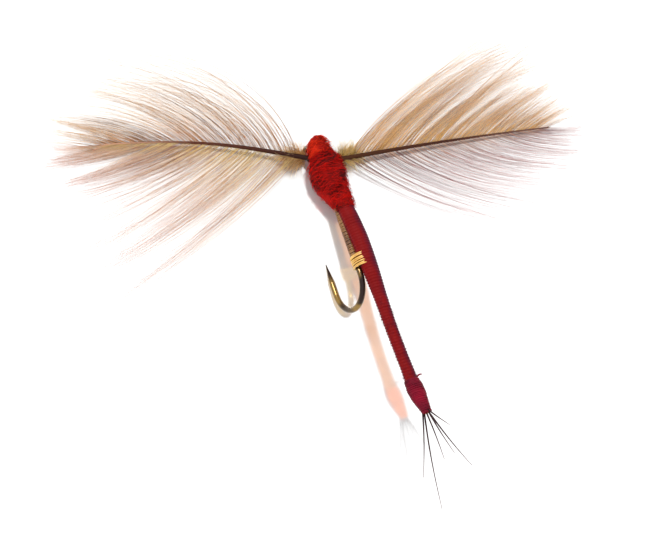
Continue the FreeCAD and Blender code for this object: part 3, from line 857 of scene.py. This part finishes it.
def make_floss(rng):
    """Floss wound over the core in close turns, from under the thorax to the tail."""
    first = ABDOMEN_STATIONS[0][0]
    rings = int((FLOSS_END - first) / FLOSS_PITCH * FLOSS_RINGS_PER_TURN)
    centres = []
    radii = []
    swell = []
    for ring in range(rings + 1):
        place = first + (FLOSS_END - first) * ring / rings
        y, z, radius = smooth_between(ABDOMEN_STATIONS, place)
        centres.append(fly_point(place, y, z))
        radii.append(radius * MM)
        if ring % FLOSS_RINGS_PER_TURN == 0:
            drift = rng.uniform(*FLOSS_SWELL)
        swell.append(drift)

    def turns(ring, angle):
        """Rounded ridges that climb one pitch each time round."""
        phase = ring / FLOSS_RINGS_PER_TURN * 2 * math.pi - angle
        return (abs(math.cos(phase / 2)) ** 0.7 - 0.75) * FLOSS_RIDGE * swell[ring] * MM

    floss = sweep("abdomen_floss_turns", centres, radii, FLOSS_SIDES, FLOSS, turns)
    for place in (ABDOMEN_HINGE - ABDOMEN_BEND, ABDOMEN_HINGE + ABDOMEN_BEND):
        y, z, _ = smooth_between(ABDOMEN_STATIONS, place)
    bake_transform(floss)
    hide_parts("abdomen_floss_front", "abdomen_floss_rear")


def make_stray_fibres(rng):
    """Single fibres that stand off the floss behind the hook."""
    stray = Strands()
    for _ in range(STRAY_COUNT):
        place = rng.uniform(STRAY_FROM, FLOSS_END - STRAY_END_ROOM)
        angle = rng.uniform(0.0, 2 * math.pi)
        length = rng.uniform(*STRAY_LENGTH)
        path = []
        for step in range(STRAY_STEPS + 1):
            share = step / STRAY_STEPS
            out = 0.01 + length * 0.5 * share
            path.append(body_point(ABDOMEN_STATIONS, place + length * share, angle + share * 0.5, out))
        stray.add(path, taper(0.011, 0.006, STRAY_STEPS), rng.random())
    hairs = stray.make("abdomen_stray_fibres", RED_THREAD)
    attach(hairs, "abdomen")


# ---------------------------------------------------------------- threads

WIRE_RADIUS = 0.21
# Each thread: turns, points per turn, radius, and how far neighbouring turns crowd or part.
SHANK_THREAD = {"turns": 50, "points": 22, "radius": 0.045, "crowding": 0.3}
BAND_THREAD = {"turns": 10, "points": 44, "radius": 0.052, "crowding": 0.5}
TAIL_THREAD = {"turns": 50, "points": 26, "radius": 0.050, "crowding": 0.6}
COIL_SIDES = 7
CROWDING_PACE = 0.37
# Where the shank's thread and the band start, and how far back each runs.
SHANK_THREAD_PLACE = (4.2, 4.2)
BAND_PLACE = (8.30, 0.90)
BAND_HALF_WIDTH = 0.57
BAND_WIRE_ROOM = 0.10
BAND_REACH = 0.70
FILLER_STEPS = 16
FILLER_SIDES = 24
FILLER_SINK = 0.01
TAG_PLACE = 17.6
TAG_STEPS = 8


def coil(name, thread, points_at, material, rng):
    """One thread wound round and round: points_at(share, angle) is where its middle lies."""
    steps = thread["turns"] * thread["points"]
    path = []
    for step in range(steps + 1):
        share = step / steps
        angle = 2 * math.pi * thread["turns"] * share
        shift = thread["crowding"] * math.sin(angle * CROWDING_PACE) / thread["turns"]
        path.append(points_at(share + shift, angle))
    strand = Strands(COIL_SIDES)
    strand.add(path, taper(thread["radius"], 0.0, steps), rng.random())
    return strand.make(name, material)


def make_shank_thread(rng):
    """Tan thread in close turns over the shank."""
    reach = WIRE_RADIUS + SHANK_THREAD["radius"]

    def on_shank(share, angle):
        """A place on the shank thread."""
        place = SHANK_THREAD_PLACE[0] + SHANK_THREAD_PLACE[1] * share
        return fly_point(place, reach * math.cos(angle), reach * math.sin(angle))

    shank = coil("shank_thread_turns", SHANK_THREAD, on_shank, TAN_THREAD, rng)
    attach(shank, "root")
    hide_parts("shank_thread")


def make_binding(rng):
    """The gold band before the bend, which ties the abdomen's core to the shank."""

    def on_pair(share, angle):
        """A place on the band, an oval round the shank and the core, under the floss."""
        place = BAND_PLACE[0] + BAND_PLACE[1] * share
        y, z, radius = smooth_between(ABDOMEN_STATIONS, place)
        away = math.hypot(y, z)
        toward = Vector((0.0, y / away, z / away))
        aside = Vector((0.0, -z / away, y / away))
        low = -WIRE_RADIUS - BAND_WIRE_ROOM
        high = away + radius * BAND_REACH
        spot = toward * ((low + high) / 2 + (high - low) / 2 * math.cos(angle))
        spot += aside * (BAND_HALF_WIDTH * math.sin(angle))
        return fly_point(place, spot.y, spot.z)

    band = coil("binding_thread_turns", BAND_THREAD, on_pair, GOLD_THREAD, rng)
    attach(band, "root")
    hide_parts("rear_wraps")


def tail_binding_ends():
    """The first and the last middle of the tail's binding, in metres."""
    return [fly_point(*station[:3]) for station in (TAIL_BINDING[0], TAIL_BINDING[-1])]


def make_tail_binding(rng):
    """Thread wound there and back over the tail's root, and the filler that shows between turns."""
    first = TAIL_BINDING[0][0]
    last = TAIL_BINDING[-1][0]

    def on_tail(share, angle):
        """A place on the tail's binding, which tapers on over the roots of the fibres."""
        back_and_forth = abs(((share * 2.0) % 2.0) - 1.0)
        place = first + (last - first) * (1.0 - back_and_forth)
        return body_point(TAIL_BINDING, place, angle, 0.02 * math.sin(angle * 0.43))

    tail = coil("tail_thread_turns", TAIL_THREAD, on_tail, RED_THREAD, rng)
    # How far the turns face down, for the red thread's painted underside light.
    mark_belly(tail, *tail_binding_ends())

    centres = []
    radii = []
    for step in range(FILLER_STEPS + 1):
        place = first + (last - first) * step / FILLER_STEPS
        y, z, radius = smooth_between(TAIL_BINDING, place)
        centres.append(fly_point(place, y, z))
        radii.append((radius - FILLER_SINK) * MM)
    under = sweep("tail_binding_filler", centres, radii, FILLER_SIDES, RED_THREAD)

    for piece in (tail, under):
        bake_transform(piece)
    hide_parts("tail_wraps")


def make_tag():
    """The loose end of the tail's thread, curving out of the binding's front edge."""
    y, z, radius = smooth_between(ABDOMEN_STATIONS, TAG_PLACE)
    path = []
    for step in range(TAG_STEPS + 1):
        share = step / TAG_STEPS
        path.append(fly_point(
            TAG_PLACE - 0.30 * share + 0.20 * share ** 2,
            y + radius * 0.85 + 0.38 * share,
            z + radius * 0.4 + 0.22 * share - 0.12 * share ** 2,
        ))
    tag = Strands(sides=6)
    tag.add(path, taper(0.070, 0.028, TAG_STEPS), 0.5)
    end = tag.make("tag_end_thread", RED_THREAD)
    # How far the end faces down, for the red thread's painted underside light.
    mark_belly(end, *tail_binding_ends())
    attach(end, "abdomen")
    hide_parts("thread_tag")


# ---------------------------------------------------------------- tail

# Length, swing to the fly's right, rise to its back, sideways bow, and the root's two offsets.
TAIL_FIBRES = (
    (6.8, -1.0, -12.0, 0.12, 0.03, -0.29),
    (3.8, 2.5, 1.0, -0.05, 0.00, 0.00),
    (3.7, 9.5, 6.5, 0.06, 0.17, 0.12),
    (4.9, 21.0, 3.0, 0.10, 0.29, -0.07),
    (2.5, 8.0, 36.0, 0.05, 0.00, 0.28),
    (4.6, -7.0, -18.0, -0.08, -0.26, -0.12),
)
TAIL_HINGE = 19.66
FIBRE_STEPS = 16
FIBRE_ROOT_BACK = 0.1
FIBRE_ROOT_ASIDE = 0.08
FIBRE_GATHER = 0.55


def make_tail():
    """Six stiff dark fibres that leave the end of the binding and bow a little to their tips."""
    _, end_y, end_z, _ = TAIL_BINDING[-1]
    _, seat_y, seat_z, _ = ABDOMEN_STATIONS[-1]
    for number, (length, swing, rise, bow, side, up) in enumerate(TAIL_FIBRES, start=1):
        yaw = math.radians(swing)
        pitch = math.radians(rise)
        heading = Vector((math.cos(yaw) * math.cos(pitch), math.sin(yaw) * math.cos(pitch), math.sin(pitch)))
        tip = Vector((TAIL_HINGE, seat_y + side, seat_z + up)) + heading * length
        root = Vector((TAIL_HINGE + FIBRE_ROOT_BACK, end_y - FIBRE_ROOT_ASIDE + side * FIBRE_GATHER,
                       end_z + up * FIBRE_GATHER))
        sideways = (tip - root).cross(Vector((0.0, 0.0, 1.0))).normalized()
        path = []
        for step in range(FIBRE_STEPS + 1):
            share = step / FIBRE_STEPS
            path.append(fly_point(*(root.lerp(tip, share) + sideways * (bow * math.sin(math.pi * share)))))
        strand = Strands(sides=6)
        strand.add(path, taper(0.064, 0.050, FIBRE_STEPS), 0.5)
        fibre = strand.make(f"tail_hair_{number}", TAIL)
        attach(fibre, "tail")
        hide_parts(f"tail_fibre_{number}")


# ---------------------------------------------------------------- the whole fly

def finish_cad_nodes():
    """Give the CAD nodes that stay in view their finished materials."""
    finishes = {
        "hook": HOOK, "wing_wraps": RED_THREAD, "abdomen_core": LINE, "abdomen_core_butt": LINE,
        "left_wing_butt": QUILLS["left"], "right_wing_butt": QUILLS["right"], "tail_butts": TAIL,
    }
    for node, material in finishes.items():
        for slot in frame["nodes"][node].material_slots:
            slot.material = material


rng = random.Random(SEED)
make_camera()
make_board()
make_light()
finish_cad_nodes()
for side in WINGS:
    make_quill(side)
    make_vane(side, "front", rng)
    make_vane(side, "rear", rng)
    make_down(side, rng)
make_fur_core("head", HEAD_STATIONS, "head", HEAD_FUR, rng)
make_fur_hairs("head", HEAD_STATIONS, HEAD_FUR, 700, rng)
make_fur_core("thorax", THORAX_STATIONS, "thorax_dubbing", RED_FUR, rng)
make_fur_hairs("thorax", THORAX_STATIONS, RED_FUR, 2200, rng)
make_floss(rng)
make_stray_fibres(rng)
make_shank_thread(rng)
make_binding(rng)
make_tail_binding(rng)
make_tag()
make_tail()
